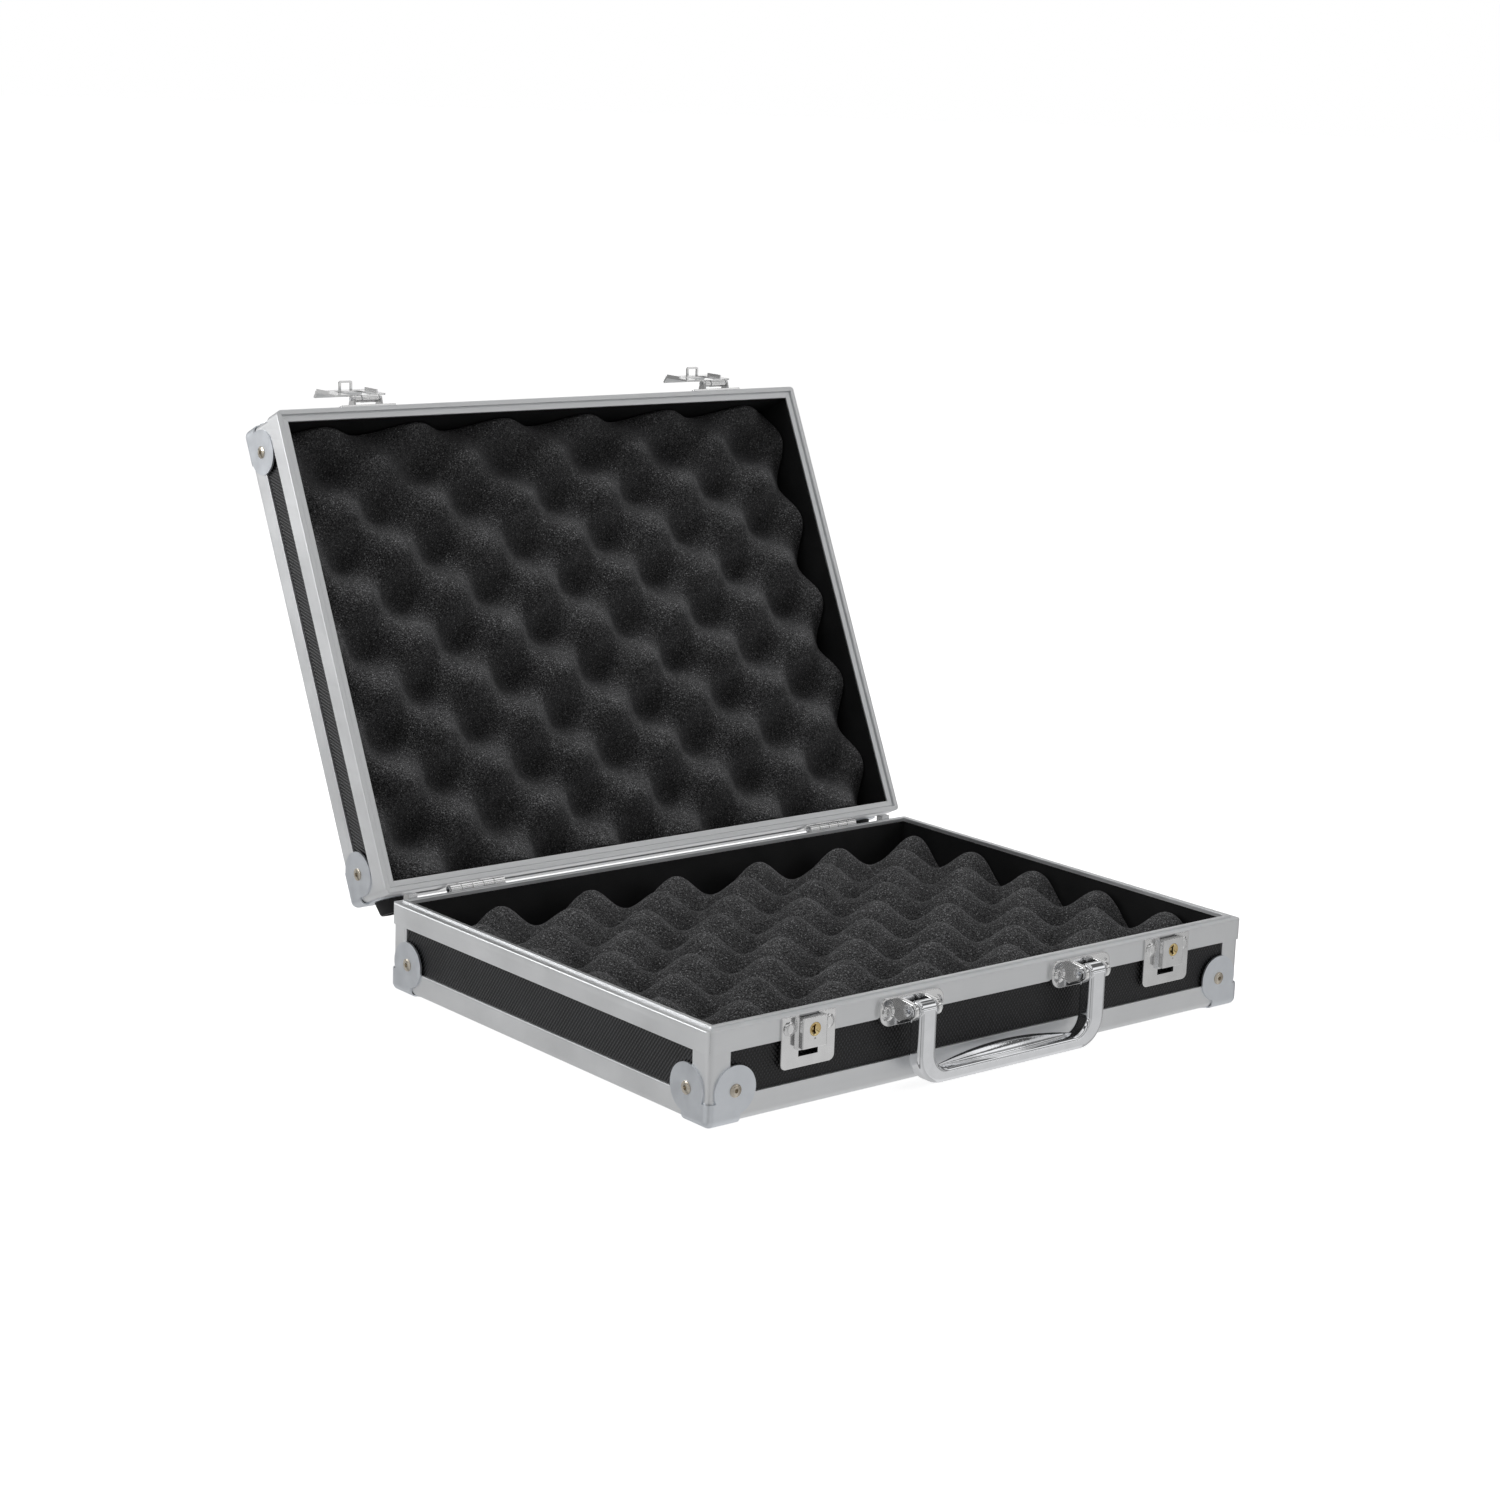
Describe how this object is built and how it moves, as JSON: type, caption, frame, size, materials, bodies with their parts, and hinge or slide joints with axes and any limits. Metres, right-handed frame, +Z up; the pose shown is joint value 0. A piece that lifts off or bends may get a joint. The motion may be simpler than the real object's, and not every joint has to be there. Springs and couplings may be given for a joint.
{
  "type": "hard carry case",
  "caption": "Shallow hinged carry case with aluminium edges, black panels, steel corners, egg-crate foam, key locks with hasps and a folding handle, standing open",
  "frame": {"origin": "on the floor, under the middle of the open case's outline", "axes": "+X right along the front, +Y to the back, +Z up; rest pose is the case standing open"},
  "size_m": [0.3622, 0.432, 0.3022],
  "materials": {
    "aluminium": "satin",
    "cap_steel": "satin",
    "chrome": "polished",
    "plated_steel": "satin",
    "rivet": "satin",
    "brass": "polished",
    "panel": "satin",
    "lining": "matte",
    "foam": "matte",
    "foot_rubber": "matte"
  },
  "bodies": {
    "base": {"base_back_feet": "foot_rubber", "base_back_panel": "panel", "base_back_rim": "aluminium", "base_bottom_edges": "aluminium", "base_bottom_panel": "panel", "base_cap_rivets": "rivet", "base_corner_caps": "cap_steel", "base_corner_posts": "aluminium", "base_foam": "foam", "base_front_panel": "panel", "base_front_rim": "aluminium", "base_hinge_leaves": "chrome", "base_hinge_rivets": "chrome", "base_left_panel": "panel", "base_left_rim": "aluminium", "base_lining": "lining", "base_right_panel": "panel", "base_right_rim": "aluminium", "handle_bracket_left": "chrome", "handle_bracket_right": "chrome", "handle_bracket_rivets": "chrome", "handle_pins": "chrome", "hinge_pins": "chrome", "lid_stops": "plated_steel", "lock_case_left": "chrome", "lock_case_right": "chrome", "lock_plate_left": "chrome", "lock_plate_right": "chrome", "lock_rivets": "chrome"},
    "lid": {"lid_back_feet": "foot_rubber", "lid_back_panel": "panel", "lid_back_rim": "aluminium", "lid_cap_rivets": "rivet", "lid_corner_caps": "cap_steel", "lid_corner_posts": "aluminium", "lid_foam": "foam", "lid_front_panel": "panel", "lid_front_rim": "aluminium", "lid_hinge_leaves": "chrome", "lid_hinge_rivets": "chrome", "lid_left_panel": "panel", "lid_left_rim": "aluminium", "lid_lining": "lining", "lid_right_panel": "panel", "lid_right_rim": "aluminium", "lid_top_edges": "aluminium", "lid_top_panel": "panel", "hasp_pins": "chrome", "hasp_plate_left": "chrome", "hasp_plate_right": "chrome", "hasp_rivets": "chrome", "hasp_springs": "plated_steel"},
    "handle": {"handle": "chrome"},
    "hasp_left": {"hasp_left": "chrome"},
    "hasp_right": {"hasp_right": "chrome"},
    "key_plug_left": {"key_plug_left": "brass"},
    "lock_bolt_left": {"lock_bolt_left": "plated_steel"},
    "key_plug_right": {"key_plug_right": "brass"},
    "lock_bolt_right": {"lock_bolt_right": "plated_steel"}
  },
  "joints": [
    {"name": "lid_hinge", "type": "hinge", "parent": "base", "child": "lid", "pos_m": [0, 0.06815, 0.0475], "axis": [1, 0, 0], "range_deg": [0, 115]},
    {"name": "handle_swing", "type": "hinge", "parent": "base", "child": "handle", "pos_m": [0, -0.21125, 0.0406], "axis": [-1, 0, 0], "range_deg": [0, 170]},
    {"name": "hasp_left_swing", "type": "hinge", "parent": "lid", "child": "hasp_left", "pos_m": [-0.1215, 0.18604, 0.29441], "axis": [1, 0, 0], "range_deg": [0, 154.4], "stiffness_Nm_per_rad": 0.0005, "springref_deg": -114.59},
    {"name": "key_left_turn", "type": "hinge", "parent": "base", "child": "key_plug_left", "pos_m": [-0.1215, -0.20075, 0.0404], "axis": [0, 1, 0], "range_deg": [0, 90]},
    {"name": "bolt_left_slide", "type": "slide", "parent": "base", "child": "lock_bolt_left", "axis": [0, 0, -1], "range_m": [0, 0.00438]},
    {"name": "hasp_right_swing", "type": "hinge", "parent": "lid", "child": "hasp_right", "pos_m": [0.1215, 0.18604, 0.29441], "axis": [1, 0, 0], "range_deg": [0, 154.4], "stiffness_Nm_per_rad": 0.0005, "springref_deg": -114.59},
    {"name": "key_right_turn", "type": "hinge", "parent": "base", "child": "key_plug_right", "pos_m": [0.1215, -0.20075, 0.0404], "axis": [0, 1, 0], "range_deg": [0, 90]},
    {"name": "bolt_right_slide", "type": "slide", "parent": "base", "child": "lock_bolt_right", "axis": [0, 0, -1], "range_m": [0, 0.00438]}
  ],
  "couplings": [
    {"joint": "key_left_turn", "follows": "bolt_left_slide", "rad_per_m": 358.62},
    {"joint": "key_right_turn", "follows": "bolt_right_slide", "rad_per_m": 358.62}
  ]
}
